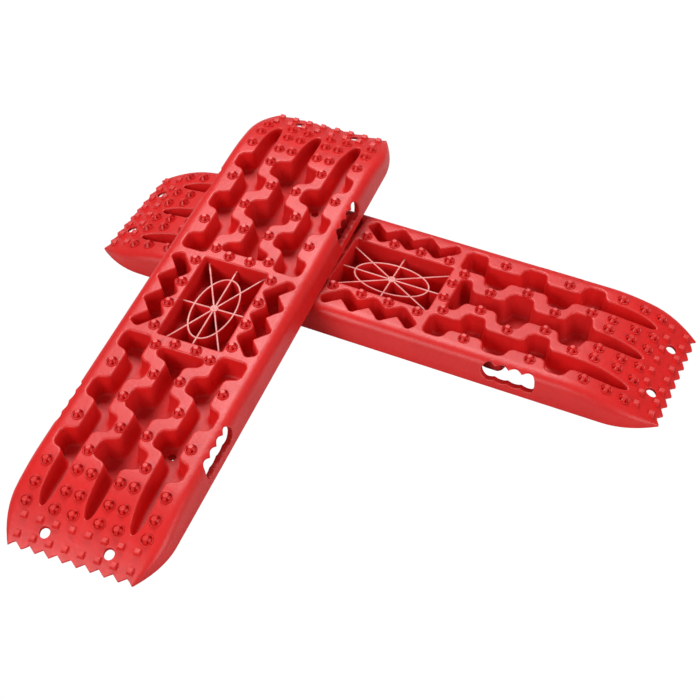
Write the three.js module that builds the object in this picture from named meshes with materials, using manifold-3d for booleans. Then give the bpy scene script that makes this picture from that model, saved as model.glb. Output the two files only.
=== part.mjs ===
// A pair of plastic traction boards for freeing a stuck car, one lying flat and one laid across it.
// Units are millimetres, +Z up. The origin is the middle of the lower board's underside;
// +X runs along the lower board. Each board is a thin shell, open underneath, with drafted channel
// cups, studs, wedge lugs, sawtooth ends, grip slots in its side walls and a spoked web in its centre pocket.
// The board is divided into its working regions, with a 0.3 mm gap between neighbours.

import * as THREE from 'three';
import { mergeVertices } from 'three/addons/utils/BufferGeometryUtils.js';
import Module from 'manifold-3d';

// ---- driving dimensions -------------------------------------------------------------------
const LENGTH = 1060;            // tooth tip to tooth tip
const WIDTH = 280;              // across the bottom rim
const DECK_Z = 52.3;            // deck surface above the ground
const STUD_H = 8;               // stud height above the deck
const WALL = 3.5;               // deck and side wall thickness
const CUP_WALL = 3.1;           // channel cup wall thickness
const CUP_FLOOR_TOP = 12.3;     // channel floor above the ground
const CUP_FLOOR_T = 3.3;
const POCKET_FLOOR_T = 3.5;     // centre pocket floor, flush with the rim
const POCKET_HX = 94.5, POCKET_HY = 60;
const WEB_TOP = 37.5, RIB_W = 3.2, HUB_R = 8, RING_A = 70, RING_B = 37;
const RAMP_X = 360;             // where the end ramps start
const RAMP_DROP = 49;           // ramp drop at the tooth tips
const CORNER_X = 440;           // where the plan outline starts to narrow
const TIP_Y = 108.4;            // half width at the tooth tips
const TOOTH_PITCH = 24.1, TOOTH_DEPTH = 7.5;
const END_HOLE_X = 499, END_HOLE_Y = 56, END_HOLE_R = 9.3;
const PIN_HOLE_X = 294, PIN_HOLE_Y = 61, PIN_HOLE_R = 6.5;
const GRIP_X = 270, GRIP_HALF = 48, GRIP_Z0 = 17, GRIP_Z1 = 43.5, GRIP_LOBE = 3, GRIP_DEPTH = 11;
const GAP = 0.3;                // between neighbouring regions
const CUT_CENTRE = 98.5, CUT_RAMP = 372, CUT_RAIL = 119.6;
const YAW = 92.63;              // upper board's heading over the lower one, degrees
const CROSS_X = -226.5, CROSS_Y = -234.4; // upper board's centre over the ground, seen from above
const REST_GAP = 0.35;          // clearance where the upper board lies on the lower one

const STUDS = [[178, 101], [296.8, 101], [118.8, 50], [237.5, 50], [354.6, 50.3], [108, 19.7], [178, 23.9],
  [296.8, 23.9], [26, 72], [80.4, 72], [393, 104.8], [433, 104.8], [464, 104.8], [393, 50], [433, 50.5], [464.3, 55.5],
  [393, 25.2], [433, 25.2], [464, 22.8]];
const LUG_X = [484.5, 512.5], LUG_Y = [14.1, 42.2, 70.3, 98.4];

// ---- solids -------------------------------------------------------------------------------
const wasm = await Module();
wasm.setup();

function solid(geometry, matrix) {
  let g = geometry.clone();
  if (matrix) g.applyMatrix4(matrix);
  g.deleteAttribute('normal');
  g.deleteAttribute('uv');
  g = mergeVertices(g, 1e-4);
  const mesh = new wasm.Mesh({ numProp: 3, vertProperties: new Float32Array(g.attributes.position.array),
    triVerts: new Uint32Array(g.index.array) });
  mesh.merge();
  return new wasm.Manifold(mesh);
}
const union = (list) => list.reduce((a, b) => a.add(b));

// A closed outline in a plane, from corner points [u, v, radius].
function outline(points, steps = 1) {
  const out = [];
  const n = points.length;
  for (let i = 0; i < n; i++) {
    const [px, py] = points[(i + n - 1) % n], [x, y, r = 0] = points[i], [nx, ny] = points[(i + 1) % n];
    const a = new THREE.Vector2(px - x, py - y), b = new THREE.Vector2(nx - x, ny - y);
    const la = a.length(), lb = b.length();
    const half = Math.acos(THREE.MathUtils.clamp(a.dot(b) / (la * lb), -1, 1)) / 2;
    const cut = Math.min(r / Math.tan(half), la * 0.48, lb * 0.48);
    if (cut < 0.4) { out.push(new THREE.Vector2(x, y)); continue; }
    const s = new THREE.Vector2(x, y).addScaledVector(a, cut / la), e = new THREE.Vector2(x, y).addScaledVector(b, cut / lb);
    out.push(...new THREE.QuadraticBezierCurve(s, new THREE.Vector2(x, y), e).getPoints(steps));
  }
  return out.filter((p, i) => p.distanceTo(out[(i + 1) % out.length]) > 0.05);
}
// The outline moved out (positive) or in (negative) by a distance, for counter-clockwise points.
function offset(points, d) {
  const n = points.length;
  return points.map((p, i) => {
    const a = points[(i + n - 1) % n], b = points[(i + 1) % n];
    const e1 = new THREE.Vector2(p.x - a.x, p.y - a.y).normalize(), e2 = new THREE.Vector2(b.x - p.x, b.y - p.y).normalize();
    const n1 = new THREE.Vector2(e1.y, -e1.x), n2 = new THREE.Vector2(e2.y, -e2.x);
    const m = n1.clone().add(n2);
    const k = d / Math.max(0.35, m.lengthSq() / 2);
    return new THREE.Vector2(p.x + m.x * k / 1, p.y + m.y * k / 1).sub(new THREE.Vector2(m.x * k / 2, m.y * k / 2));
  });
}
const prism = (points, depth) => new THREE.ExtrudeGeometry(new THREE.Shape(points), { depth, bevelEnabled: false });
const upright = (points, z0, z1) => solid(prism(points, z1 - z0), new THREE.Matrix4().makeTranslation(0, 0, z0));
// An outline in X and Z, extruded along Y from y0 to y1.
const alongY = (points, y0, y1) => solid(prism(points, y1 - y0),
  new THREE.Matrix4().makeTranslation(0, y1, 0).multiply(new THREE.Matrix4().makeRotationX(Math.PI / 2)));
// An outline in Y and Z, extruded along X from x0 to x1.
const alongX = (points, x0, x1) => solid(prism(points, x1 - x0),
  new THREE.Matrix4().set(0, 0, 1, x0, 1, 0, 0, 0, 0, 1, 0, 0, 0, 0, 0, 1));
const block = (x0, x1, y0, y1, z0, z1) => solid(new THREE.BoxGeometry(x1 - x0, y1 - y0, z1 - z0),
  new THREE.Matrix4().makeTranslation((x0 + x1) / 2, (y0 + y1) / 2, (z0 + z1) / 2));
const mirrorX = (points) => points.map((p) => new THREE.Vector2(-p.x, p.y)).reverse();
const mirrorY = (points) => points.map((p) => new THREE.Vector2(p.x, -p.y)).reverse();

const rampK = RAMP_DROP / (LENGTH / 2 - RAMP_X) ** 2;
const deckZ = (x) => DECK_Z - (Math.abs(x) > RAMP_X ? rampK * (Math.abs(x) - RAMP_X) ** 2 : 0);
const halfWidth = (x) => WIDTH / 2 - (Math.abs(x) > CORNER_X
  ? (WIDTH / 2 - TIP_Y) * ((Math.abs(x) - CORNER_X) / (LENGTH / 2 - CORNER_X)) ** 2 : 0);
const rampXs = [RAMP_X, 400, 435, 468, 500, LENGTH / 2];

// Long side view of the board, lowered by t.
function sideView(t) {
  const top = rampXs.map((x) => [x, deckZ(x) - t * Math.hypot(1, 2 * rampK * (x - RAMP_X))]).filter((p) => p[1] > 1.2 || t === 0);
  const last = t === 0 ? LENGTH / 2 : top[top.length - 1][0] + 2;
  const right = [...top.map((p) => new THREE.Vector2(p[0], p[1])), ...(t === 0 ? [] : [])];
  return [new THREE.Vector2(-last, t ? -2 : 0), new THREE.Vector2(last, t ? -2 : 0), ...right.slice().reverse(),
    ...right.map((p) => new THREE.Vector2(-p.x, p.y))];
}
// Half of the end view: the side wall leans in slightly and rolls over into the deck.
const wallHalf = [[140, 0], [137.8, 32], [134.2, 42.3], [128.5, 49.2], [119.75, DECK_Z]];
function endView(t) {
  const half = wallHalf.map(([y, z]) => new THREE.Vector2(y, z));
  let pts = [...half, ...half.slice().reverse().map((p) => new THREE.Vector2(-p.x, p.y))];
  if (t) {
    pts = offset(pts, -t);
    pts[0].set(WIDTH / 2 - t, -2);
    pts[pts.length - 1].set(-WIDTH / 2 + t, -2);
  }
  return pts;
}
// Plan of the board: straight sides, corners that draw in towards the ends, and a sawtooth across each end.
function planView(t) {
  const side = [CORNER_X, 470, 500].map((x) => new THREE.Vector2(x, halfWidth(x) - t));
  const end = [];
  if (t) end.push(new THREE.Vector2(LENGTH / 2 - 3 * t, TIP_Y - t));
  else for (let i = 9; i >= 0; i--) {
    const y = (i - 4.5) * TOOTH_PITCH;
    end.push(new THREE.Vector2(LENGTH / 2, y));
    if (i > 0) end.push(new THREE.Vector2(LENGTH / 2 - TOOTH_DEPTH, y - TOOTH_PITCH / 2));
  }
  if (t) end.push(new THREE.Vector2(LENGTH / 2 - 3 * t, -TIP_Y + t));
  const right = [...side, ...end, ...side.slice().reverse().map((p) => new THREE.Vector2(p.x, -p.y))].reverse();
  return [...right, ...right.slice().reverse().map((p) => new THREE.Vector2(-p.x, p.y))];
}
function body(t) {
  const w = WIDTH / 2 + 20, l = LENGTH / 2 + 20;
  return alongY(sideView(t), -w, w).intersect(alongX(endView(t), -l, l)).intersect(upright(planView(t), -3, 80));
}

// ---- deck cut-outs, for x > 0 -------------------------------------------------------------
const R = 8;
const outerChannel = outline([
  [104, 62.5, R], [154, 62.5, R], [161, 38, R], [193, 38, R], [200, 62.5, R], [271, 62.5, R], [278, 38, R], [310, 38, R],
  [317, 63.5, R], [410, 65], [437, 68.5], [451, 71], [460, 74.5], [464.5, 78.5], [460, 84], [451, 88], [437, 91], [410, 92.2],
  [366, 91, R], [359, 112.5, R], [327, 112.5, R], [320, 88.5, R], [258, 88.5, R], [251, 112.5, R], [215, 112.5, R],
  [208, 88.5, R], [147, 88.5, R], [140, 112.5, R], [104, 112.5, R]]);
const innerHalf = [[137, 41.3, R], [147, 15, R], [205, 15, R], [215, 41.3, R], [251, 41.3, R], [261, 15, R], [317, 15, R],
  [327, 41.3, R], [359, 41.3, R], [368, 14, R], [410, 13], [437, 11], [451, 8.5], [460, 5]];
const innerChannel = outline([[119, -41.3, R], ...innerHalf.map(([x, y, r]) => [x, -y, r]), [464.5, 0],
  ...innerHalf.slice().reverse(), [119, 41.3, R]]);
const zigzag = outline([[-92, 101, 8], [-54, 68, 9], [-26.5, 88, 9], [0, 68, 9], [26.5, 88, 9], [54, 68, 9], [92, 101, 8],
  [80, 119, 7], [53, 97, 2], [26.5, 119, 7], [0, 97, 2], [-26.5, 119, 7], [-53, 97, 2], [-80, 119, 7]], 1);
const pocket = outline([[-POCKET_HX, -POCKET_HY, 3], [POCKET_HX, -POCKET_HY, 3], [POCKET_HX, POCKET_HY, 3], [-POCKET_HX, POCKET_HY, 3]], 1);

// A grip slot in the side wall, in X and Z, with four finger lobes above and below.
function gripOutline(cx, grow) {
  const pts = [];
  const n = 8;
  for (let i = 0; i <= n; i++) {
    const u = i / n, lobe = Math.abs(Math.sin(u * 4 * Math.PI)) * GRIP_LOBE, round = (i === 0 || i === n) ? 6 : 0;
    pts.push([cx - GRIP_HALF + 2 * GRIP_HALF * u, GRIP_Z0 - lobe * 0.7 + round]);
  }
  for (let i = n; i >= 0; i--) {
    const u = i / n, lobe = Math.abs(Math.sin(u * 4 * Math.PI)) * GRIP_LOBE, round = (i === 0 || i === n) ? 6 : 0;
    pts.push([cx - GRIP_HALF + 2 * GRIP_HALF * u, GRIP_Z1 + lobe * 0.8 - round]);
  }
  const v = pts.map(([x, z]) => new THREE.Vector2(x, z));
  return grow ? offset(v, grow) : v;
}

// ---- one board ----------------------------------------------------------------------------
function board() {
  const outer = body(0);
  let shell = outer.subtract(body(WALL));
  const cups = [], hollows = [];
  for (const sx of [1, -1]) for (const sy of [1, -1]) {
    const o = sx < 0 ? mirrorX(outerChannel) : outerChannel;
    const c = sy < 0 ? mirrorY(o) : o;
    cups.push(upright(offset(c, CUP_WALL), CUP_FLOOR_TOP - CUP_FLOOR_T, 80));
    hollows.push(upright(c, CUP_FLOOR_TOP, 90));
  }
  for (const sx of [1, -1]) {
    const c = sx < 0 ? mirrorX(innerChannel) : innerChannel;
    cups.push(upright(offset(c, CUP_WALL), CUP_FLOOR_TOP - CUP_FLOOR_T, 80));
    hollows.push(upright(c, CUP_FLOOR_TOP, 90));
  }
  for (const sy of [1, -1]) {
    const c = sy < 0 ? mirrorY(zigzag) : zigzag;
    cups.push(upright(offset(c, CUP_WALL - 0.3), CUP_FLOOR_TOP - CUP_FLOOR_T, 80));
    hollows.push(upright(c, CUP_FLOOR_TOP, 90));
  }
  cups.push(upright(offset(pocket, WALL), 0, 80));
  hollows.push(upright(pocket, POCKET_FLOOR_T, 90));
  // grip collars
  const slots = [];
  for (const sx of [1, -1]) for (const sy of [1, -1]) {
    const y1 = WIDTH / 2 + 3, y0 = WIDTH / 2 - 3 - GRIP_DEPTH;
    cups.push(sy > 0 ? alongY(gripOutline(sx * GRIP_X, 2.8), y0, y1) : alongY(gripOutline(sx * GRIP_X, 2.8), -y1, -y0));
    slots.push(sy > 0 ? alongY(gripOutline(sx * GRIP_X, 0), y0 - 5, y1 + 5) : alongY(gripOutline(sx * GRIP_X, 0), -y1 - 5, -y0 + 5));
  }
  shell = shell.add(union(cups).intersect(outer)).subtract(union(hollows)).subtract(union(slots));
  // studs, standing on the deck or on the ramp
  const stud = new THREE.LatheGeometry([[0, -2], [9.2, -2], [8.2, 2], [2.8, STUD_H], [0, STUD_H]].map(([r, z]) => new THREE.Vector2(r, z)), 5);
  stud.rotateX(Math.PI / 2);
  const extra = [];
  for (const [x, y] of STUDS) for (const sx of [1, -1]) for (const sy of [1, -1]) {
    const slope = x > RAMP_X ? Math.atan(2 * rampK * (x - RAMP_X)) : 0;
    const m = new THREE.Matrix4().makeTranslation(sx * x, sy * y, deckZ(x)).multiply(new THREE.Matrix4().makeRotationY(sx * slope));
    extra.push(solid(stud, m));
  }
  // wedge lugs, rising towards the end of the board
  for (const x of LUG_X) for (const y of LUG_Y) for (const sx of [1, -1]) for (const sy of [1, -1]) {
    const z = deckZ(x), s = 2 * rampK * (x - RAMP_X);
    const w = [[-5.5, -2.5], [4.2, -4], [4.2, 3.4], [-5.5, 1.2]].map(([u, v]) => new THREE.Vector2(sx * (x + u), z + v - s * u));
    extra.push(alongY(sx > 0 ? w : w.reverse(), sy * y - 4.6, sy * y + 4.6));
  }
  shell = shell.add(union(extra));
  // round holes: two through each end, one in each outer channel's floor
  const holes = [];
  for (const sx of [1, -1]) for (const sy of [1, -1]) {
    const drill = (r, x, y, n) => solid(new THREE.CylinderGeometry(r, r, 120, n), new THREE.Matrix4().makeTranslation(sx * x, sy * y, 0).multiply(new THREE.Matrix4().makeRotationX(Math.PI / 2)));
    holes.push(drill(END_HOLE_R, END_HOLE_X, END_HOLE_Y, 10), drill(PIN_HOLE_R, PIN_HOLE_X, PIN_HOLE_Y, 8));
  }
  shell = shell.subtract(union(holes));

  // the spoked web in the centre pocket
  const wx = POCKET_HX - GAP, wy = POCKET_HY - GAP, z0 = POCKET_FLOOR_T + GAP;
  const ribs = [];
  const diag = Math.atan2(POCKET_HY - 8, POCKET_HX - 4);
  for (const a of [0, Math.PI / 2, diag, -diag]) {
    const g = new THREE.BoxGeometry(260, RIB_W, WEB_TOP - z0);
    ribs.push(solid(g, new THREE.Matrix4().makeTranslation(0, 0, (WEB_TOP + z0) / 2).multiply(new THREE.Matrix4().makeRotationZ(a))));
  }
  const ringOuter = new THREE.EllipseCurve(0, 0, RING_A + RIB_W / 2, RING_B + RIB_W / 2).getPoints(20).slice(0, -1);
  const ringInner = new THREE.EllipseCurve(0, 0, RING_A - RIB_W / 2, RING_B - RIB_W / 2).getPoints(20).slice(0, -1);
  ribs.push(upright(ringOuter, z0, WEB_TOP).subtract(upright(ringInner, z0 - 1, WEB_TOP + 1)));
  ribs.push(solid(new THREE.CylinderGeometry(HUB_R, HUB_R, WEB_TOP + 0.8 - z0, 8), new THREE.Matrix4().makeTranslation(0, 0, (WEB_TOP + 0.8 + z0) / 2).multiply(new THREE.Matrix4().makeRotationX(Math.PI / 2))));
  const web = union(ribs).intersect(block(-wx + 0.4, wx - 0.4, -wy + 0.4, wy - 0.4, 0, 80));

  const far = 700, g = GAP / 2;
  const regions = {
    centre_deck: block(-CUT_CENTRE + g, CUT_CENTRE - g, -CUT_RAIL + g, CUT_RAIL - g, -5, 90),
    left_channel_deck: block(-CUT_RAMP + g, -CUT_CENTRE - g, -CUT_RAIL + g, CUT_RAIL - g, -5, 90),
    right_channel_deck: block(CUT_CENTRE + g, CUT_RAMP - g, -CUT_RAIL + g, CUT_RAIL - g, -5, 90),
    left_ramp: block(-far, -CUT_RAMP - g, -far, far, -5, 90),
    right_ramp: block(CUT_RAMP + g, far, -far, far, -5, 90),
    front_rail: block(-CUT_RAMP + g, CUT_RAMP - g, -far, -CUT_RAIL - g, -5, 90),
    rear_rail: block(-CUT_RAMP + g, CUT_RAMP - g, CUT_RAIL + g, far, -5, 90),
  };
  const nodes = { centre_web: web };
  for (const [name, region] of Object.entries(regions)) nodes[name] = shell.intersect(region);
  return nodes;
}

// ---- the pair -----------------------------------------------------------------------------
const plastic = (name, hex) => new THREE.MeshStandardMaterial({ name, color: new THREE.Color(hex), roughness: 0.42, metalness: 0 });
const red = plastic('red_plastic', 0xd4181a), paleRed = plastic('web_plastic', 0xd8302e);

function toGeometry(m) {
  const mesh = m.getMesh();
  const g = new THREE.BufferGeometry();
  g.setAttribute('position', new THREE.BufferAttribute(new Float32Array(mesh.vertProperties), mesh.numProp));
  g.setIndex(new THREE.BufferAttribute(new Uint32Array(mesh.triVerts), 1));
  return g;
}

const pair = new THREE.Group();
const nodes = board();
const lower = new THREE.Group(), upper = new THREE.Group();
for (const [name, m] of Object.entries(nodes)) {
  const geometry = toGeometry(m);
  for (const [group, prefix] of [[lower, 'lower_'], [upper, 'upper_']]) {
    const mesh = new THREE.Mesh(geometry, name === 'centre_web' ? paleRed : red);
    mesh.name = prefix + name;
    group.add(mesh);
  }
}
// The upper board leans: one end stands on the ground and its side walls rest on the lower board's long edge.
const reach = LENGTH / 2 + (-CUT_RAIL - CROSS_Y) - 6.4;
const pitch = Math.asin((DECK_Z + REST_GAP) / reach);
upper.rotation.set(0, -pitch, YAW * Math.PI / 180, 'ZYX');
upper.position.set(CROSS_X, CROSS_Y, LENGTH / 2 * Math.sin(pitch) + 0.02);
pair.add(lower, upper);

export default pair;
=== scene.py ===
import math

import bmesh
import bpy
import numpy as np
from mathutils import Matrix, Vector
from mathutils.geometry import delaunay_2d_cdt


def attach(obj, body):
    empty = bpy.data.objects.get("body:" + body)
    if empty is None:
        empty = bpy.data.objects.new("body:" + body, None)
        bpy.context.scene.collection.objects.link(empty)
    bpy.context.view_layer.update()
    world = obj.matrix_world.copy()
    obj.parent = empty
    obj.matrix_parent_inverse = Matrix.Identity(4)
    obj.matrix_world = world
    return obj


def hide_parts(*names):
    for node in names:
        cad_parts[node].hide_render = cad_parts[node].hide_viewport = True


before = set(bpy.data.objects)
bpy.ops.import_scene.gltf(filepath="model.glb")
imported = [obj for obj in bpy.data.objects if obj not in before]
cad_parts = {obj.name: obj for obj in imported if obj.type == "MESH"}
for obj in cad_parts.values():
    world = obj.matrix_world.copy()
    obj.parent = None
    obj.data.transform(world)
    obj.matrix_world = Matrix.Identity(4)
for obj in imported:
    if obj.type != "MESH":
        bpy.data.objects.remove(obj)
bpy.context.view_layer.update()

# ---- dimensions, in millimetres: x along a board, y across it, z up from its rim -----------------
MM = 0.001
HALF_LENGTH, DECK_Z = 530.0, 52.3
RAMP_X, RAMP_DROP = 360.0, 49.0
CORNER_X, HALF_WIDTH, TIP_Y = 440.0, 140.0, 108.4
CREST_Y, CREST_TIP_Y = 113.0, 107.4
V_ROLL, V_RIM = 148.0, 181.0
TOOTH_PITCH, TOOTH_DEPTH = 24.1, 7.5
CUP_FLOOR, INNER_FLOOR, POCKET_FLOOR = 10.8, 5.2, 3.5
END_HOLE, END_HOLE_R = (499.0, 56.0), 8.8
PIN_HOLE, PIN_HOLE_R = (294.0, 61.0), 6.5
THICK = 3.1
FILLET = 3.6
WEB_TOP, RING_A, RING_B = 37.5, 70.0, 37.0
R = 12
STUDS = [(178, 101), (296.8, 101), (118.8, 50), (237.5, 50), (354.6, 50.3), (108, 19.7), (178, 23.9),
         (296.8, 23.9), (26, 72), (80.4, 72), (393, 104.8), (433, 104.8), (464, 104.8), (393, 50),
         (433, 50.5), (464.3, 55.5), (393, 25.2), (433, 25.2), (464, 22.8)]
LUG_X, LUG_Y = (484.5, 512.5), (14.1, 42.2, 70.3, 98.4)
OUTER_CHANNEL = [
    (104, 62.5, R), (154, 62.5, R), (161, 38, R), (193, 38, R), (200, 62.5, R), (271, 62.5, R), (278, 38, R),
    (310, 38, R), (317, 63.5, R), (410, 65, 80), (437, 68.5, 40), (451, 71, 20), (460, 74.5, 9), (464.5, 79, 6),
    (460, 84, 9), (451, 88, 20), (437, 91, 40), (410, 92.2, 80), (366, 91, R), (359, 112.5, R), (327, 112.5, R),
    (320, 88.5, R), (258, 88.5, R), (251, 112.5, R), (215, 112.5, R), (208, 88.5, R), (147, 88.5, R),
    (140, 112.5, R), (104, 112.5, R)]
INNER_HALF = [(137, 41.3, R), (147, 15, R), (205, 15, R), (215, 41.3, R), (251, 41.3, R), (261, 15, R), (317, 15, R),
              (327, 41.3, R), (359, 41.3, R), (368, 14, R), (410, 13, 80), (437, 11, 40), (451, 8.5, 20), (460, 5, 9)]
INNER_CHANNEL = ([(119, -41.3, R)] + [(x, -y, r) for x, y, r in INNER_HALF] + [(464.5, 0, 6)]
                 + INNER_HALF[::-1] + [(119, 41.3, R)])
ZIGZAG = [(-92, 101, 8), (-54, 68, 9), (-26.5, 88, 9), (0, 68, 9), (26.5, 88, 9), (54, 68, 9), (92, 101, 8),
          (80, 119, 7), (53, 97, 3), (26.5, 119, 7), (0, 97, 3), (-26.5, 119, 7), (-53, 97, 3), (-80, 119, 7)]
POCKET = [(-94.5, -60, 3.5), (94.5, -60, 3.5), (94.5, 60, 3.5), (-94.5, 60, 3.5)]


# ---- the board's skin ----------------------------------------------------------------------------
def past(x, start):
    return np.maximum(np.abs(x) - start, 0.0)


def deck_z(x):
    return DECK_Z - RAMP_DROP * (past(x, RAMP_X) / (HALF_LENGTH - RAMP_X)) ** 2


def corner(x):
    return (past(x, CORNER_X) / (HALF_LENGTH - CORNER_X)) ** 2


def valley(x, y):
    """A shallow valley that runs on from each channel's tip to the end of the ramp."""
    s = np.clip((np.abs(x) - 462) / 22, 0, 1)
    return 0.9 * s * s * (3 - 2 * s) * (np.exp(-(y / 5.5) ** 2) + np.exp(-((np.abs(y) - 78.5) / 5.5) ** 2))


def skin(p):
    """Points of the skin from (x, v): v runs across the deck, over the shoulder and down the side wall."""
    p = np.asarray(p, float)
    x, v = p[..., 0], p[..., 1]
    a = np.abs(v)
    h = deck_z(x)
    w = HALF_WIDTH - (HALF_WIDTH - TIP_Y) * corner(x)
    c = CREST_Y - (CREST_Y - CREST_TIP_Y) * corner(x)
    y_deck = np.where(a <= 100, a, 100 + (a - 100) * (c - 100) / (CREST_Y - 100))
    t = np.clip((a - CREST_Y) / (V_ROLL - CREST_Y), 0, 1)
    u = np.clip((a - V_ROLL) / (V_RIM - V_ROLL), 0, 1)
    py = [c, c + 0.52 * (w - c), w - 0.17 * (w - c), w - 0.096 * (w - c)]
    pz = [h, h, 0.89 * h, 0.63 * h]
    k = [(1 - t) ** 3, 3 * (1 - t) ** 2 * t, 3 * (1 - t) * t ** 2, t ** 3]
    ry, rz = sum(a_ * b_ for a_, b_ in zip(k, py)), sum(a_ * b_ for a_, b_ in zip(k, pz))
    y = np.where(a <= CREST_Y, y_deck, np.where(a <= V_ROLL, ry, py[3] + (w - py[3]) * u))
    z = np.where(a <= CREST_Y, h, np.where(a <= V_ROLL, rz, pz[3] * (1 - u)))
    z = z - np.where(a < 100, valley(x, v), 0.0)
    return np.stack([x, np.sign(v) * y, z], -1)


WALL_V = np.linspace(CREST_Y, V_RIM, 400)
WALL_Z = skin(np.stack([np.zeros(400), WALL_V], 1))[:, 2]


def wall_v(z):
    return np.interp(-np.asarray(z, float), -WALL_Z, WALL_V)


# ---- plane outlines ------------------------------------------------------------------------------
def rounded(points, step=7.0, arc=2.0):
    """A dense closed outline from corners (x, y, radius)."""
    n = len(points)
    c = [np.array(p[:2], float) for p in points]
    pts = []
    for i, p in enumerate(points):
        r = p[2] if len(p) > 2 else 0
        a, b = c[i - 1] - c[i], c[(i + 1) % n] - c[i]
        la, lb = np.linalg.norm(a), np.linalg.norm(b)
        a, b = a / la, b / lb
        half = math.acos(float(np.clip(a @ b, -1, 1))) / 2
        if r <= 0 or half > 1.565:
            pts.append(c[i])
            continue
        cut = min(r / math.tan(half), 0.485 * la, 0.485 * lb)
        r = cut * math.tan(half)
        bis = (a + b) / np.linalg.norm(a + b)
        o = c[i] + bis * (r / math.sin(half))
        s, e = c[i] + a * cut - o, c[i] + b * cut - o
        a0, a1 = math.atan2(s[1], s[0]), math.atan2(e[1], e[0])
        d = (a1 - a0 + math.pi) % (2 * math.pi) - math.pi
        k = max(2, math.ceil(abs(d) * r / arc))
        pts += [o + r * np.array([math.cos(a0 + d * j / k), math.sin(a0 + d * j / k)]) for j in range(k + 1)]
    out = []
    for i, p in enumerate(pts):
        q = pts[(i + 1) % len(pts)]
        length = np.linalg.norm(q - p)
        if length < 0.05:
            continue
        m = max(1, math.ceil(length / step))
        out += [p + (q - p) * j / m for j in range(m)]
    return np.array(out)


def flipped(p, sx, sy):
    p = p * np.array([sx, sy], float)
    return p if sx * sy > 0 else p[::-1].copy()


def inward(p):
    t = np.roll(p, -1, 0) - np.roll(p, 1, 0)
    t /= np.maximum(np.linalg.norm(t, axis=1, keepdims=True), 1e-9)
    return np.stack([-t[:, 1], t[:, 0]], 1)


def room(p, n):
    """How far each point can move along n before it meets the outline's middle line."""
    d = p[None] - p[:, None]
    dot = (d * n[:, None]).sum(2)
    r = np.where(dot > 1e-4, (d ** 2).sum(2) / (2 * np.maximum(dot, 1e-4)), 1e9)
    np.fill_diagonal(r, 1e9)
    return r.min(1)


def limited(most, r, share=0.75):
    d = np.minimum(most, share * r)
    for _ in range(2):
        low = np.minimum(d, np.minimum(np.roll(d, 1), np.roll(d, -1)))
        d = (low + np.roll(low, 1) + np.roll(low, -1)) / 3
    return d


def inside(p, poly):
    """Which points lie in a closed outline."""
    x, y = p[:, 0], p[:, 1]
    hit = np.zeros(len(p), bool)
    near = (x > poly[:, 0].min()) & (x < poly[:, 0].max()) & (y > poly[:, 1].min()) & (y < poly[:, 1].max())
    q = np.nonzero(near)[0]
    x, y = x[q], y[q]
    h = np.zeros(len(q), bool)
    for a, b in zip(poly, np.roll(poly, -1, 0)):
        if a[1] != b[1]:
            cross = (a[1] > y) != (b[1] > y)
            h ^= cross & (x < (b[0] - a[0]) * (y - a[1]) / (b[1] - a[1]) + a[0])
    hit[q] = h
    return hit


def away(p, loop, least):
    """Which points are at least that far from an outline's points and edges."""
    keep = np.ones(len(p), bool)
    for a, b in zip(loop, np.roll(loop, -1, 0)):
        near = np.abs(p - (a + b) / 2).max(1) < least + np.abs(b - a).max()
        if near.any():
            q = np.nonzero(near)[0]
            ab = b - a
            s = np.clip(((p[q] - a) @ ab) / max(ab @ ab, 1e-9), 0, 1)
            keep[q] &= np.linalg.norm(p[q] - a - s[:, None] * ab, axis=1) > least
    return keep


def triangulate(outer, holes, extra=None):
    """Triangles over the area between outlines. Gives the triangles as indices into outer, the holes and extra, in order."""
    loops = [outer] + list(holes)
    pts = np.concatenate(loops + ([extra] if extra is not None and len(extra) else []))
    edges, at = [], 0
    for l in loops:
        edges += [(at + i, at + (i + 1) % len(l)) for i in range(len(l))]
        at += len(l)
    v, _, faces, orig, _, _ = delaunay_2d_cdt([Vector(p) for p in pts.tolist()], edges, [], 0, 1e-4, True)
    back = [o[0] if o else -1 for o in orig]
    tri = np.array([[back[i] for i in f] for f in faces if len(f) == 3])
    tri = tri[(tri >= 0).all(1)]
    mid = pts[tri].mean(1)
    keep = inside(mid, outer)
    for h in holes:
        keep &= ~inside(mid, h)
    tri = tri[keep]
    a, b, c = pts[tri[:, 0]], pts[tri[:, 1]], pts[tri[:, 2]]
    area = (b[:, 0] - a[:, 0]) * (c[:, 1] - a[:, 1]) - (b[:, 1] - a[:, 1]) * (c[:, 0] - a[:, 0])
    tri[area < 0] = tri[area < 0][:, ::-1]
    return tri[np.abs(area) > 1e-5]


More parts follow.
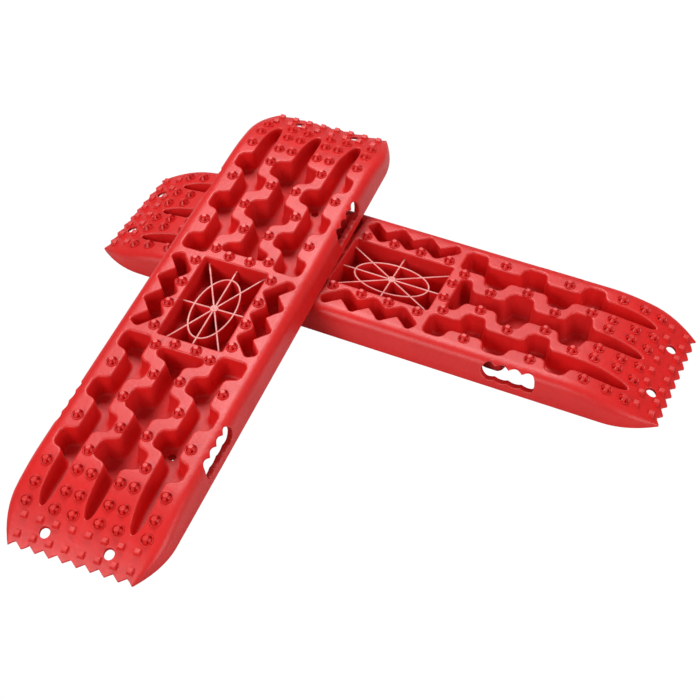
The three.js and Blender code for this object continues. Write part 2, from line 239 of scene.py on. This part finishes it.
# ---- a sheet that is thickened into a shell ------------------------------------------------------
class Sheet:
    def __init__(self):
        self.p, self.rim, self.deep, self.thick, self.way, self.faces, self.n = [], [], [], [], [], [], 0

    # rim weights a painted highlight and deep weights painted shade (with a rougher finish) in the material
    def add(self, pts, rim=0.0, deep=0.0, thick=THICK, way=None):
        m = len(pts)
        self.p.append(np.asarray(pts, float))
        for store, value in ((self.rim, rim), (self.deep, deep), (self.thick, thick)):
            store.append(np.broadcast_to(np.asarray(value, float), (m,)).copy())
        self.way.append(np.zeros((m, 3)) if way is None else np.broadcast_to(np.asarray(way, float), (m, 3)).copy())
        self.n += m
        return np.arange(self.n - m, self.n)

    def strip(self, a, b):
        an, bn = np.roll(a, -1), np.roll(b, -1)
        self.faces += np.stack([a, an, bn, b], 1).tolist()

    def rings(self, first, rings):
        for pts, rim, deep, thick, way in rings:
            nxt = self.add(pts, rim, deep, thick, way)
            self.strip(first, nxt)
            first = nxt
        return first

    def shell(self):
        p = np.concatenate(self.p)
        rim, deep, thick = (np.concatenate(s) for s in (self.rim, self.deep, self.thick))
        way = np.concatenate(self.way)
        tri = []
        for f in self.faces:
            tri.append(f[:3])
            if len(f) == 4:
                tri.append([f[0], f[2], f[3]])
        tri = np.array(tri)
        fn = np.cross(p[tri[:, 1]] - p[tri[:, 0]], p[tri[:, 2]] - p[tri[:, 0]])
        unit = fn / np.maximum(np.linalg.norm(fn, axis=1, keepdims=True), 1e-12)
        nrm = np.zeros_like(p)
        for k in range(3):
            a, b, c = p[tri[:, k]], p[tri[:, (k + 1) % 3]], p[tri[:, (k + 2) % 3]]
            e1, e2 = b - a, c - a
            cosine = (e1 * e2).sum(1) / np.maximum(np.linalg.norm(e1, axis=1) * np.linalg.norm(e2, axis=1), 1e-12)
            np.add.at(nrm, tri[:, k], unit * np.arccos(np.clip(cosine, -1, 1))[:, None])
        nrm /= np.maximum(np.linalg.norm(nrm, axis=1, keepdims=True), 1e-9)
        given = np.linalg.norm(way, axis=1) > 0
        d = -nrm
        d[given] = way[given]
        drop = np.maximum(-d[:, 2], 1e-6)
        t = np.where(d[:, 2] < -0.05, np.minimum(thick, np.maximum(p[:, 2] - 0.1, 0) / drop), thick)
        q = p + d * t[:, None]
        q[:, 2] = np.maximum(q[:, 2], 0.0)
        n = len(p)
        seen = {}
        for f in self.faces:
            for i, a in enumerate(f):
                seen[(a, f[(i + 1) % len(f)])] = True
        sides = [[b, a, a + n, b + n] for a, b in seen if (b, a) not in seen]
        faces = self.faces + [[i + n for i in reversed(f)] for f in self.faces] + sides
        # the underside gets no painted highlight and full painted shade and roughness (deep 1)
        return np.concatenate([p, q]), faces, np.concatenate([rim, rim * 0]), np.concatenate([deep, np.ones(n)])


def circle(cx, cy, r, n):
    a = np.arange(n) / n * 2 * math.pi
    return np.stack([cx + r * np.cos(a), cy + r * np.sin(a)], 1)


def grip_outline(cx):
    """A hand slot with four finger lobes above and below, as (x, z): a round end nearer the board's centre."""
    x0, x1, zm = -46.5, 49.0, 30.6
    x = x0 + (x1 - x0) * (0.5 - 0.5 * np.cos(np.linspace(0, math.pi, 61)))
    x = 0.45 * x + 0.55 * np.linspace(x0, x1, 61)
    lobe = np.abs(np.sin(math.pi * (x - x1) / 24.0))
    e = (np.clip(1 - (1 - np.minimum(x - x0, 13.0) / 13.0) ** 2, 0, 1) ** 0.5
         * np.clip(1 - (1 - np.minimum(x1 - x, 8.0) / 8.0) ** 3, 0, 1) ** 0.4)
    top = zm + (43.6 - zm + 4.2 * lobe ** 0.8) * e
    low = zm - (zm - 17.6 + 3.6 * lobe ** 0.8) * e
    pts = np.concatenate([np.stack([x, low], 1), np.stack([x, top], 1)[::-1][1:-1]])
    return pts * np.array([np.sign(cx), 1.0]) + np.array([cx, 0.0])


def board_shell():
    s = Sheet()
    plans = []          # (outline, floor height, pin hole or None)
    outer, inner, zig = rounded(OUTER_CHANNEL), rounded(INNER_CHANNEL), rounded(ZIGZAG, arc=1.6)
    for sx in (1, -1):
        for sy in (1, -1):
            plans.append((flipped(outer, sx, sy), CUP_FLOOR, (sx * PIN_HOLE[0], sy * PIN_HOLE[1])))
        plans.append((flipped(inner, sx, 1), INNER_FLOOR, None))
    for sy in (1, -1):
        plans.append((flipped(zig, 1, sy), INNER_FLOOR, None))
    plans.append((rounded(POCKET), POCKET_FLOOR, None))

    loops, jobs = [], []
    for plan, floor, pin in plans:
        n = inward(plan)
        out = limited(FILLET, room(plan, -n))
        loops.append(plan - n * out[:, None])
        jobs.append(("pocket", plan, n, out, floor, pin))
    for sx in (1, -1):
        for sy in (1, -1):
            c = (sx * END_HOLE[0], sy * END_HOLE[1])
            loops.append(circle(*c, END_HOLE_R + 1.1, 36))
            jobs.append(("hole", c))
            xz = grip_outline(sx * 270.5)
            g = np.stack([xz[:, 0], wall_v(xz[:, 1])], 1)[::-1].copy()
            if sy < 0:
                g = (g * np.array([1.0, -1.0]))[::-1].copy()
            n = inward(g)
            if ((g[:, 0] * np.roll(g[:, 1], -1) - np.roll(g[:, 0], -1) * g[:, 1]).sum()) < 0:
                g = g[::-1].copy()
                n = inward(g)
            out = limited(2.6, room(g, -n))
            loops.append(g - n * out[:, None])
            jobs.append(("grip", g, out, sy))

    # outline of the skin: a sawtooth across each end, the side walls' lower edges along the sides
    half = [(522.5, 0.0, 0.5)]
    for i in range(1, 5):
        half += [(530.6, TOOTH_PITCH * (i - 0.5), 2.0), (522.5, TOOTH_PITCH * i, 0.5)]
    teeth = [(x, -v, r) for x, v, r in half[:0:-1]] + half
    right = [(530, -V_RIM)] + [(530, -v) for v in (165, 148, 130, 118)] + [(530, -113, 7)] + teeth + [(530, 113, 7)] + [
        (530, v) for v in (118, 130, 148, 165)] + [(530, V_RIM)]
    edge = rounded(right + [(-x, -v, *r) for x, v, *r in right], step=6.0, arc=0.6)

    rows = [-V_RIM + 11, -V_RIM + 22, -V_ROLL] + [-(CREST_Y + 35 * k / 9) for k in range(8, -1, -1)]
    rows = rows + [-r for r in rows]
    pts = []
    for r in rows:
        pts += [(x, r) for x in np.arange(-522, 522.1, 12.0)]
    for x in list(np.arange(363, 523, 8.0)):
        for y in np.arange(-105, 105.1, 10.5):
            pts += [(x, y + (2.6 if int(x / 8) % 2 else -2.6)), (-x, y + (2.6 if int(x / 8) % 2 else -2.6))]
    for x in np.arange(466, 521, 9.0):
        for y in (-78.5, 0, 78.5):
            pts += [(sx * x, y + d) for sx in (1, -1) for d in (-8.5, -5, -2, 2, 5, 8.5)]
    extra = np.array(pts)
    order = np.lexsort((extra[:, 1].round(1), extra[:, 0].round(1)))
    extra = extra[order]
    lone = np.ones(len(extra), bool)
    for i in range(1, len(extra)):
        near = extra[max(0, i - 60):i][lone[max(0, i - 60):i]]
        lone[i] = not len(near) or np.linalg.norm(near - extra[i], axis=1).min() > 2.4
    extra = extra[lone]
    keep = inside(extra, edge) & away(extra, edge, 3.0)
    for l in loops:
        keep &= ~inside(extra, l) & away(extra, l, 2.6)
    extra = extra[keep]
    tri = triangulate(edge, loops, extra)

    e3 = skin(edge)
    way = np.zeros_like(e3)
    a = np.abs(edge[:, 1])
    way[:, 2] = np.where(a < CREST_Y + 0.1, -1.0, 0.0)
    side = a >= CREST_Y + 0.1
    way[side] = np.stack([np.zeros(side.sum()), -np.sign(edge[side, 1]), np.zeros(side.sum())], 1)
    tip = side & (np.abs(edge[:, 0]) > 529)
    way[tip] = np.stack([-np.sign(edge[tip, 0]) * 0.7, -np.sign(edge[tip, 1]) * 0.7, np.zeros(tip.sum())], 1)
    # the skin's outer edge (teeth and lower wall edges) gets a faint painted highlight (rim 0.25)
    ids = [s.add(e3, rim=0.25, thick=np.where(side, np.minimum(THICK, 0.5 * deck_z(edge[:, 0]) + 0.3), THICK), way=way)]
    for l, job in zip(loops, jobs):
        ids.append(s.add(skin(l)))
    if len(extra):
        ea = np.abs(extra[:, 1])
        ids.append(s.add(skin(extra), thick=np.where(ea > CREST_Y, np.minimum(THICK, 0.5 * deck_z(extra[:, 0]) + 0.3), THICK)))
    index = np.concatenate(ids)
    s.faces += index[tri].tolist()

    for (l, job), first in zip(zip(loops, jobs), ids[1:]):
        if job[0] == "pocket":
            _, plan, n, out, floor, pin = job
            rim3, edge3 = skin(l), skin(plan)
            n3 = np.concatenate([n, np.zeros((len(n), 1))], 1)
            up = np.array([0.0, 0.0, 1.0])
            draft, foot = (3.4, 6.5) if floor == CUP_FLOOR else (5.4, 8.0) if floor == INNER_FLOOR else (1.6, 3.0)
            wide = limited(draft + foot, room(plan, n), 0.8)
            # how strongly the walls and floor get painted shade and extra roughness: less in the outer channels
            floor_shade_and_matte = 0.45 if floor == CUP_FLOOR else 1.0
            lean = wide * draft / (draft + foot)
            thick = np.minimum(THICK, limited(THICK, room(plan, -n), 0.8))
            low = edge3 + n3 * 0.2 - up * out[:, None]
            rings = []
            # rim values paint a highlight along the fillet; deep values on the wall and floor rings paint shade and
            # roughen them
            for t, rim in ((0.2, 0.45), (0.42, 1.0), (0.68, 0.7), (1.0, 0.1)):
                rings.append(((1 - t) ** 2 * rim3 + 2 * t * (1 - t) * edge3 + t * t * low, rim, 0.0, thick, None))
            foot3 = edge3 + n3 * lean[:, None]
            foot3[:, 2] = floor + foot
            for t in (0.12, 0.4, 0.7, 1.0):
                rings.append((low + (foot3 - low) * t, 0.0, (0.15 + 0.75 * t) * floor_shade_and_matte, thick, None))
            corner3, flat3 = foot3 + n3 * (wide - lean)[:, None] * 0.08, edge3 + n3 * wide[:, None]
            corner3[:, 2], flat3[:, 2] = floor, floor
            for t in (0.3, 0.6, 1.0):
                rings.append(((1 - t) ** 2 * foot3 + 2 * t * (1 - t) * corner3 + t * t * flat3, 0.0, (0.9 + 0.1 * t) * floor_shade_and_matte, THICK, None))
            last = s.rings(first, rings)
            loop2 = flat3[:, :2]
            holes, hole_ids = [], []
            if pin is not None:
                c = circle(*pin, PIN_HOLE_R + 0.9, 28)
                holes.append(c)
                # the pin hole's lip gets a faint painted highlight and its inside, down to the shelf, full painted
                # shade
                ring = s.add(np.concatenate([c, np.full((28, 1), floor)], 1), deep=floor_shade_and_matte)
                hole_ids.append(ring)
                rings = []
                around = np.concatenate([circle(0, 0, 1.0, 28), np.zeros((28, 1))], 1)
                for r, dz in ((PIN_HOLE_R + 0.25, -0.25), (PIN_HOLE_R, -0.9), (PIN_HOLE_R - 0.15, -6.4), (PIN_HOLE_R - 3.6, -6.7), (PIN_HOLE_R - 4.1, -7.2),
                              (PIN_HOLE_R - 4.2, -10.6)):
                    q = np.concatenate([circle(*pin, r, 28), np.full((28, 1), floor + dz)], 1)
                    rings.append((q, 0.3, 1.0, 2.4, None if dz > -0.5 else around))
                s.rings(ring, rings)
            grid = None
            tri2 = triangulate(loop2, holes, grid)
            s.faces += np.concatenate([last] + hole_ids)[tri2].tolist()
        elif job[0] == "hole":
            c = job[1]
            rings = []
            out = np.concatenate([circle(0, 0, 1.0, 36), np.zeros((36, 1))], 1)
            for r, dz, thick, to in ((END_HOLE_R + 0.35, -0.3, THICK - 0.3, (0, 0, -1.0)), (END_HOLE_R, -1.0, 2.6, out * 0.75 - (0, 0, 1.0)),
                                     (END_HOLE_R - 0.1, -3.6, 2.0, out), (END_HOLE_R - 0.15, -6.2, 2.0, out)):
                q = skin(circle(*c, r, 36))
                q[:, 2] += dz
                # painted highlight on the hole's lip, painted shade further down inside
                rings.append((q, 0.8 if dz > -2 else 0.1, 0.1 if dz > -2 else 0.7, thick, to))
            s.rings(first, rings)
        else:
            _, g, out, sy = job
            rim3, edge3 = skin(l), skin(g)
            to = np.array([0.0, -sy, 0.0])
            low = edge3 + to * out[:, None]
            rings = []
            # painted highlight along the slot's lip; painted shade deepening into the slot (deep 0.3 to 0.8)
            for t, rim in ((0.25, 0.5), (0.5, 1.0), (0.75, 0.6), (1.0, 0.1)):
                rings.append(((1 - t) ** 2 * rim3 + 2 * t * (1 - t) * edge3 + t * t * low, rim, 0.0, 2.4, None))
            end = edge3.copy()
            end[:, 1] = sy * np.minimum(np.abs(end[:, 1]) - 3.5, 128.5)
            for t in (0.5, 1.0):
                rings.append((low + (end - low) * t, 0.0, 0.3 + 0.5 * t, 2.4, None))
            s.rings(first, rings)
    return s.shell()


# ---- the small parts that stand on the skin ------------------------------------------------------
def stud_template():
    """A round pad with a faceted peak, four square pits on its diagonals and a nib outside each pit."""
    quadrant = [0, 13, 22, 25, 26.5, 36, 45, 54, 63.5, 65, 68, 77]
    ang = [q + 90 * k for k in range(4) for q in quadrant]
    facet = lambda deg, r: r * math.cos(math.pi / 8) / math.cos(math.radians(deg % 45 - 22.5))
    # radius, height, whether the pits cut in there, how far the outline is an octagon, rim: how much painted highlight,
    # on the peak's top and the pad's raised ring
    rows = [(3.6, 9.4, 0, 1, 1.0), (4.1, 9.0, 0, 1, 0.9), (4.9, 7.0, 0, 1, 0.1), (5.0, 6.7, 1, 1, 0), (7.6, 2.9, 1, 0.3, 0),
            (7.9, 2.0, 0, 0.2, 0), (8.4, 0.5, 0, 0, 0), (8.9, 0.6, 0, 0, 0), (9.3, 2.0, 0, 0, 0.4), (9.8, 2.3, 0, 0, 0.7),
            (10.2, 1.8, 0, 0, 0.4), (10.4, 0.4, 0, 0, 0), (10.4, -3.0, 0, 0, 0)]
    v, rim, m = [(0.0, 0.0, 9.5)], [0.7], len(ang)
    for r, z, pit, octagon, edge in rows:
        for a in ang:
            q = r + (facet(a, r) - r) * octagon
            depth = 0.4 if pit and 26 < a % 90 < 64 else None
            v.append((q * math.cos(math.radians(a)), q * math.sin(math.radians(a)), z if depth is None else depth))
            rim.append(edge)
    v.append((0.0, 0.0, -3.0))
    rim.append(0)
    f = [[0, 1 + i, 1 + (i + 1) % m] for i in range(m)]
    for k in range(len(rows) - 1):
        a, b = 1 + k * m, 1 + (k + 1) * m
        f += [[a + i, b + i, b + (i + 1) % m, a + (i + 1) % m] for i in range(m)]
    last = 1 + (len(rows) - 1) * m
    f += [[last + i, len(v) - 1, last + (i + 1) % m] for i in range(m)]
    return np.array(v), f, np.array(rim, float)


def lug_template(slope):
    """A drafted block with a level top and a steep outer face on a surface that falls away towards +x."""
    bm = bmesh.new()
    half, wide, top = 5.6, 6.0, 5.6 * slope + 2.6
    low, high = [(-half - 1.2, -3.0), (half + 0.3, -3.0 - half * slope)], [(-half + 2.2, top), (half - 0.5, top - 0.3)]
    ring = [[bm.verts.new((x, sy * (wide + 0.9 if k == 0 else wide - 1.7), z)) for k, (x, z) in enumerate([a, b])]
            for a, b in zip(low, high) for sy in (-1, 1)]
    (a0, a1), (b0, b1), (c0, c1), (d0, d1) = ring
    for f in ((a0, b0, d0, c0), (a1, c1, d1, b1), (a0, c0, c1, a1), (b0, b1, d1, d0), (a0, a1, b1, b0), (c0, d0, d1, c1)):
        bm.faces.new(f)
    bmesh.ops.recalc_face_normals(bm, faces=bm.faces)
    bmesh.ops.bevel(bm, geom=list(bm.edges), offset=0.6, segments=2, profile=0.6, affect="EDGES")
    bm.verts.index_update()
    v = np.array([list(x.co) for x in bm.verts])
    f = [[x.index for x in y.verts] for y in bm.faces]
    bm.free()
    # the rim weight paints a highlight along the block's top edges, fading over 2 mm down the faces
    return v, f, np.clip((v[:, 2] - top + 2.0) / 2.0, 0, 1)


def scatter(template, places, tilted=True):
    """Copies of a template at (x, y, turned) on the deck or ramp, tilted to its slope or left upright."""
    v, f, rim = template
    vs, fs, rims = [], [], []
    for k, (x, y, turned) in enumerate(places):
        slope = math.atan(2 * RAMP_DROP * max(abs(x) - RAMP_X, 0) / (HALF_LENGTH - RAMP_X) ** 2) * (1 if x > 0 else -1)
        c, s = (math.cos(slope), math.sin(slope)) if tilted else (1.0, 0.0)
        q = v * np.array([-1.0, -1.0, 1.0]) if turned else v
        out = np.stack([q[:, 0] * c + q[:, 2] * s + x, q[:, 1] + y, -q[:, 0] * s + q[:, 2] * c + float(deck_z(x))], 1)
        fs += [[i + k * len(v) for i in g] for g in f]
        vs.append(out)
        rims.append(rim)
    return np.concatenate(vs), fs, np.concatenate(rims), np.zeros(len(v) * len(places))


def board_studs():
    places = [(sx * x, sy * y, False) for x, y in STUDS for sx in (1, -1) for sy in (1, -1)]
    return scatter(stud_template(), places)


def board_lugs():
    parts, start = [], 0
    for x in LUG_X:
        template = lug_template(2 * RAMP_DROP * (x - RAMP_X) / (HALF_LENGTH - RAMP_X) ** 2)
        places = [(sx * x, sy * y, sx < 0) for y in LUG_Y for sx in (1, -1) for sy in (1, -1)]
        v, f, rim, deep = scatter(template, places, tilted=False)
        parts.append((v, [[i + start for i in g] for g in f], rim, deep))
        start += len(v)
    return (np.concatenate([p[0] for p in parts]), sum((p[1] for p in parts), []),
            np.concatenate([p[2] for p in parts]), np.concatenate([p[3] for p in parts]))


RIB = [(-2.0, POCKET_FLOOR - 1.0), (-1.55, WEB_TOP - 1.0), (-1.35, WEB_TOP - 0.35), (-0.85, WEB_TOP), (0.85, WEB_TOP),
       (1.35, WEB_TOP - 0.35), (1.55, WEB_TOP - 1.0), (2.0, POCKET_FLOOR - 1.0)]


def rib_along(path, closed, sink=0.0):
    """A rib of the RIB section that follows a line seen from above."""
    path = np.asarray(path, float)
    t = np.roll(path, -1, 0) - np.roll(path, 1, 0) if closed else np.gradient(path, axis=0)
    t /= np.linalg.norm(t, axis=1, keepdims=True)
    n = np.stack([-t[:, 1], t[:, 0]], 1)
    k, m = len(RIB), len(path)
    v, rim = [], []
    for p, q in zip(path, n):
        for u, z in RIB:
            v.append((p[0] - q[0] * u, p[1] - q[1] * u, z - (sink if z > 20 else 0)))
            # the rib's top gets the full painted highlight
            rim.append(1.0 if z > WEB_TOP - 0.6 else 0.0)
    f = []
    for i in range(m if closed else m - 1):
        a, b = i * k, (i + 1) % m * k
        f += [[a + j, a + (j + 1) % k, b + (j + 1) % k, b + j] for j in range(k)]
    if not closed:
        f += [list(range(k))[::-1], [(m - 1) * k + j for j in range(k)]]
    return np.array(v), f, np.array(rim)


def board_web():
    parts = []
    wall_x, wall_y = 93.6, 59.1
    n = 12
    for ux, uy, sink in ((1, 0, 0.03), (0, 1, 0.06)):
        e = wall_x if ux else wall_y
        parts.append(rib_along([(ux * e * s, uy * e * s) for s in np.linspace(-1, 1, n)], False, sink))
    dx, dy = 84.8, 48.0
    for sy, sink in ((1, 0.09), (-1, 0.12)):
        s = min(wall_x / dx, wall_y / dy)
        parts.append(rib_along([(dx * s * q, sy * dy * s * q) for q in np.linspace(-1, 1, n)], False, sink))
    a = np.arange(96) / 96 * 2 * math.pi
    parts.append(rib_along(np.stack([RING_A * np.cos(a), RING_B * np.sin(a)], 1), True))
    # the hub, with a shallow dish and a raised gate mark
    prof = [(8.3, POCKET_FLOOR - 1), (7.7, WEB_TOP - 0.5), (7.4, WEB_TOP + 0.3), (6.9, WEB_TOP + 0.75), (6.2, WEB_TOP + 0.85),
            (4.4, WEB_TOP + 0.7), (3.9, WEB_TOP + 0.15), (3.4, WEB_TOP + 0.1), (2.2, WEB_TOP + 0.15), (1.8, WEB_TOP + 0.9), (0.9, WEB_TOP + 1.1)]
    m = 32
    v = [(r * math.cos(2 * math.pi * i / m), r * math.sin(2 * math.pi * i / m), z) for r, z in prof for i in range(m)]
    f = [[k * m + i, k * m + (i + 1) % m, (k + 1) * m + (i + 1) % m, (k + 1) * m + i] for k in range(len(prof) - 1) for i in range(m)]
    v += [(0, 0, WEB_TOP + 1.15), (0, 0, POCKET_FLOOR - 1)]
    top, bottom = len(v) - 2, len(v) - 1
    last = (len(prof) - 1) * m
    f += [[last + i, last + (i + 1) % m, top] for i in range(m)] + [[(i + 1) % m, i, bottom] for i in range(m)]
    # the hub's raised top gets the full painted highlight
    parts.append((np.array(v, float), f, np.array([1.0 if z > WEB_TOP else 0.0 for _, z in prof for _ in range(m)] + [1.0, 0.0])))
    vs, fs, rims, at = [], [], [], 0
    for pv, pf, pr in parts:
        vs.append(pv)
        fs += [[i + at for i in g] for g in pf]
        rims.append(pr)
        at += len(pv)
    v = np.concatenate(vs)
    # deep paints shade down the ribs and hub, darker and rougher towards the pocket floor
    return v, fs, np.concatenate(rims), np.clip((WEB_TOP - v[:, 2]) / 34.0, 0, 1)


# ---- materials -----------------------------------------------------------------------------------
def material(name, colours, rough, rim_highlight_colour, rim_highlight_share, grain=1.0):
    m = bpy.data.materials.new(name)
    m.use_nodes = True
    nt = m.node_tree
    nt.nodes.clear()
    new, link = nt.nodes.new, nt.links.new
    out, shader = new("ShaderNodeOutputMaterial"), new("ShaderNodeBsdfPrincipled")
    link(shader.outputs["BSDF"], out.inputs["Surface"])
    shader.inputs["IOR"].default_value = 1.5
    shader.inputs["Specular IOR Level"].default_value = 0.55
    coord = new("ShaderNodeTexCoord")

    def noise(scale, detail, roughness=0.55, stretch=None):
        n = new("ShaderNodeTexNoise")
        n.inputs["Scale"].default_value = scale
        n.inputs["Detail"].default_value = detail
        n.inputs["Roughness"].default_value = roughness
        if stretch:
            mp = new("ShaderNodeMapping")
            mp.inputs["Scale"].default_value = stretch
            link(coord.outputs["Object"], mp.inputs["Vector"])
            link(mp.outputs["Vector"], n.inputs["Vector"])
        else:
            link(coord.outputs["Object"], n.inputs["Vector"])
        return n.outputs["Fac"]

    def remap(value, a, b, c, d):
        r = new("ShaderNodeMapRange")
        for key, x in (("From Min", a), ("From Max", b), ("To Min", c), ("To Max", d)):
            r.inputs[key].default_value = x
        link(value, r.inputs["Value"])
        return r.outputs["Result"]

    def mix(fac, a, b, blend="MIX"):
        x = new("ShaderNodeMix")
        x.data_type, x.blend_type = "RGBA", blend
        for value, sock in ((fac, x.inputs[0]), (a, x.inputs[6]), (b, x.inputs[7])):
            if isinstance(value, bpy.types.NodeSocket):
                link(value, sock)
            elif isinstance(value, (int, float)):
                sock.default_value = value
            else:
                sock.default_value = (*value, 1)
        return x.outputs[2]

    def math_node(op, a, b):
        x = new("ShaderNodeMath")
        x.operation = op
        for value, sock in ((a, x.inputs[0]), (b, x.inputs[1])):
            if isinstance(value, bpy.types.NodeSocket):
                link(value, sock)
            else:
                sock.default_value = value
        return x.outputs[0]

    def attribute(key):
        x = new("ShaderNodeAttribute")
        x.attribute_type, x.attribute_name = "GEOMETRY", key
        return x.outputs["Fac"]

    cloud, fine, speck = noise(11, 4), noise(420, 4, 0.65), noise(130, 3)
    # stretched noise that breaks the painted rim highlight into streaks
    highlight_streaks = noise(9, 5, 0.7, (1.0, 7.0, 7.0))
    colour = mix(remap(cloud, 0.35, 0.65, 0, 1), colours[0], colours[1])
    colour = mix(remap(speck, 0.42, 0.7, 0, 0.35), colour, colours[2])
    colour = mix(remap(fine, 0.3, 0.75, 0.0, 0.16 * grain), colour, tuple(min(1, c * 1.12 + 0.02) for c in colours[0]))
    # painted highlight: where the rim attribute is set (fillet lips, rib tops, stud peaks, lug tops) the colour goes
    # paler, broken up by streaks; the same mask lowers roughness a little
    painted_rim_highlight = math_node("MULTIPLY", attribute("rim"), remap(highlight_streaks, 0.3, 0.7, 0.25, 1.0))
    colour = mix(math_node("MULTIPLY", painted_rim_highlight, rim_highlight_share), colour, rim_highlight_colour)
    # painted shade: where the deep attribute is set (channel walls and floors, hole interiors, undersides, lower ribs)
    # the colour goes towards the darker fourth red
    colour = mix(math_node("MULTIPLY", attribute("deep"), remap(cloud, 0.3, 0.7, 0.25, 0.45)), colour, colours[3])
    link(colour, shader.inputs["Base Color"])
    r = math_node("ADD", remap(cloud, 0.3, 0.7, rough - 0.03, rough + 0.04), remap(fine, 0.3, 0.7, -0.04, 0.05))
    r = math_node("ADD", r, math_node("MULTIPLY", painted_rim_highlight, -0.05))
    r = math_node("ADD", r, math_node("MULTIPLY", attribute("deep"), 0.32))
    link(r, shader.inputs["Roughness"])
    b1, b2 = new("ShaderNodeBump"), new("ShaderNodeBump")
    b1.inputs["Strength"].default_value, b1.inputs["Distance"].default_value = 0.40 * grain, 0.0006
    b2.inputs["Strength"].default_value, b2.inputs["Distance"].default_value = 0.25, 0.0012
    link(fine, b1.inputs["Height"])
    link(speck, b2.inputs["Height"])
    link(b1.outputs["Normal"], b2.inputs["Normal"])
    link(b2.outputs["Normal"], shader.inputs["Normal"])
    return m


# reds: base, second tone, speckle, and a darker red that is painted shade in deep places
RED = ((0.76, 0.011, 0.010), (0.68, 0.008, 0.008), (0.80, 0.020, 0.017), (0.50, 0.006, 0.007))
# the colour after the roughness is each material's painted highlight colour for rims, rib tops and stud peaks
deck_plastic = material("deck_plastic", RED, 0.40, (0.86, 0.16, 0.14), 0.30)
web_plastic = material("web_plastic", RED, 0.42, (0.90, 0.50, 0.46), 0.85)


# ---- placing -------------------------------------------------------------------------------------
LOWER = np.eye(4)
reach = HALF_LENGTH + (-119.6 + 234.4) - 6.4
pitch, yaw = math.asin((DECK_Z + 0.35) / reach), math.radians(92.63)
turn = np.array(Matrix.Rotation(yaw, 4, "Z") @ Matrix.Rotation(-pitch, 4, "Y"))
UPPER = turn.copy()
UPPER[:3, 3] = (-226.5, -234.4, HALF_LENGTH * math.sin(pitch) + 0.02)
SHELL_NODES = ("centre_deck", "left_channel_deck", "right_channel_deck", "left_ramp", "right_ramp", "front_rail", "rear_rail")


def piece(name, data, place, body, nodes, mat, sharp):
    v, f, rim, deep = data
    p = (v @ place[:3, :3].T + place[:3, 3]) * MM
    me = bpy.data.meshes.new(name)
    me.from_pydata(p.tolist(), [], f)
    for key, values in (("rim", rim), ("deep", deep)):
        me.attributes.new(key, "FLOAT", "POINT").data.foreach_set("value", np.asarray(values, np.float32))
    me.materials.append(mat)
    me.shade_smooth()
    me.set_sharp_from_angle(angle=math.radians(sharp))
    me.validate()
    o = bpy.data.objects.new(name, me)
    bpy.context.scene.collection.objects.link(o)
    w = o.modifiers.new("shading", "WEIGHTED_NORMAL")
    w.keep_sharp, w.weight, w.mode = True, 80, "FACE_AREA"
    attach(o, body)
    if nodes:
        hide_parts(*nodes)
    return o


shell, studs, lugs, web = board_shell(), board_studs(), board_lugs(), board_web()
for prefix, place in (("lower", LOWER), ("upper", UPPER)):
    body = prefix + "_board"
    piece(body + "_shell", shell, place, body, [f"{prefix}_{n}" for n in SHELL_NODES], deck_plastic, 42)
    piece(body + "_studs", studs, place, body, [], deck_plastic, 28)
    piece(body + "_lugs", lugs, place, body, [], deck_plastic, 50)
    piece(body + "_web", web, place, body, [prefix + "_centre_web"], web_plastic, 40)

# ---- floor, light, camera ------------------------------------------------------------------------
bm = bmesh.new()
bmesh.ops.create_grid(bm, x_segments=2, y_segments=2, size=9.0)
me = bpy.data.meshes.new("floor")
bm.to_mesh(me)
bm.free()
floor = bpy.data.objects.new("floor", me)
floor.location.z = -0.0008
bpy.context.scene.collection.objects.link(floor)
fm = bpy.data.materials.new("floor_white")
fm.use_nodes = True
ft = fm.node_tree
ft.nodes.clear()
f_out, f_mix, f_path = ft.nodes.new("ShaderNodeOutputMaterial"), ft.nodes.new("ShaderNodeMixShader"), ft.nodes.new("ShaderNodeLightPath")
f_matt, f_glow = ft.nodes.new("ShaderNodeBsdfDiffuse"), ft.nodes.new("ShaderNodeEmission")
f_matt.inputs["Color"].default_value = (0.62, 0.62, 0.62, 1)
f_glow.inputs["Color"].default_value = (1, 1, 1, 1)
f_glow.inputs["Strength"].default_value = 1.02
ft.links.new(f_path.outputs["Is Camera Ray"], f_mix.inputs[0])
ft.links.new(f_matt.outputs[0], f_mix.inputs[1])
ft.links.new(f_glow.outputs[0], f_mix.inputs[2])
ft.links.new(f_mix.outputs[0], f_out.inputs["Surface"])
me.materials.append(fm)

world = bpy.data.worlds.new("studio")
bpy.context.scene.world = world
world.use_nodes = True
world.node_tree.nodes["Background"].inputs["Color"].default_value = (1, 1, 1, 1)
world.node_tree.nodes["Background"].inputs["Strength"].default_value = 0.17

target = Vector((-0.08, -0.10, 0.05))


def softbox(name, direction, distance, wide, tall, watts):
    l = bpy.data.lights.new(name, "AREA")
    l.shape, l.size, l.size_y, l.energy = "RECTANGLE", wide, tall, watts
    o = bpy.data.objects.new(name, l)
    d = Vector(direction).normalized()
    o.location = target + d * distance
    o.rotation_euler = d.to_track_quat("Z", "Y").to_euler()
    bpy.context.scene.collection.objects.link(o)
    return o


softbox("back_softbox", (-0.24, 0.46, 0.85), 3.2, 1.4, 1.2, 70)
softbox("front_softbox", (-0.35, -0.85, 0.50), 3.2, 1.4, 1.4, 46)
softbox("right_softbox", (0.90, -0.25, 0.38), 3.0, 1.8, 1.8, 34)

cam = bpy.data.cameras.new("camera")
cam.sensor_width, cam.lens = 36.0, 1645.283 / 700 * 36
cam.clip_start, cam.clip_end = 0.05, 50
co = bpy.data.objects.new("camera", cam)
right, down, ahead = (0.90768753, 0.41964021, -0.00233532), (0.29448682, -0.64092394, -0.70886811), (-0.29896634, 0.64274305, -0.70533713)
co.matrix_world = Matrix(((right[0], -down[0], -ahead[0], 0.84286632), (right[1], -down[1], -ahead[1], -1.98772242),
                          (right[2], -down[2], -ahead[2], 2.00783751), (0, 0, 0, 1)))
bpy.context.scene.collection.objects.link(co)
bpy.context.scene.camera = co
bpy.context.scene.view_settings.view_transform = "Standard"
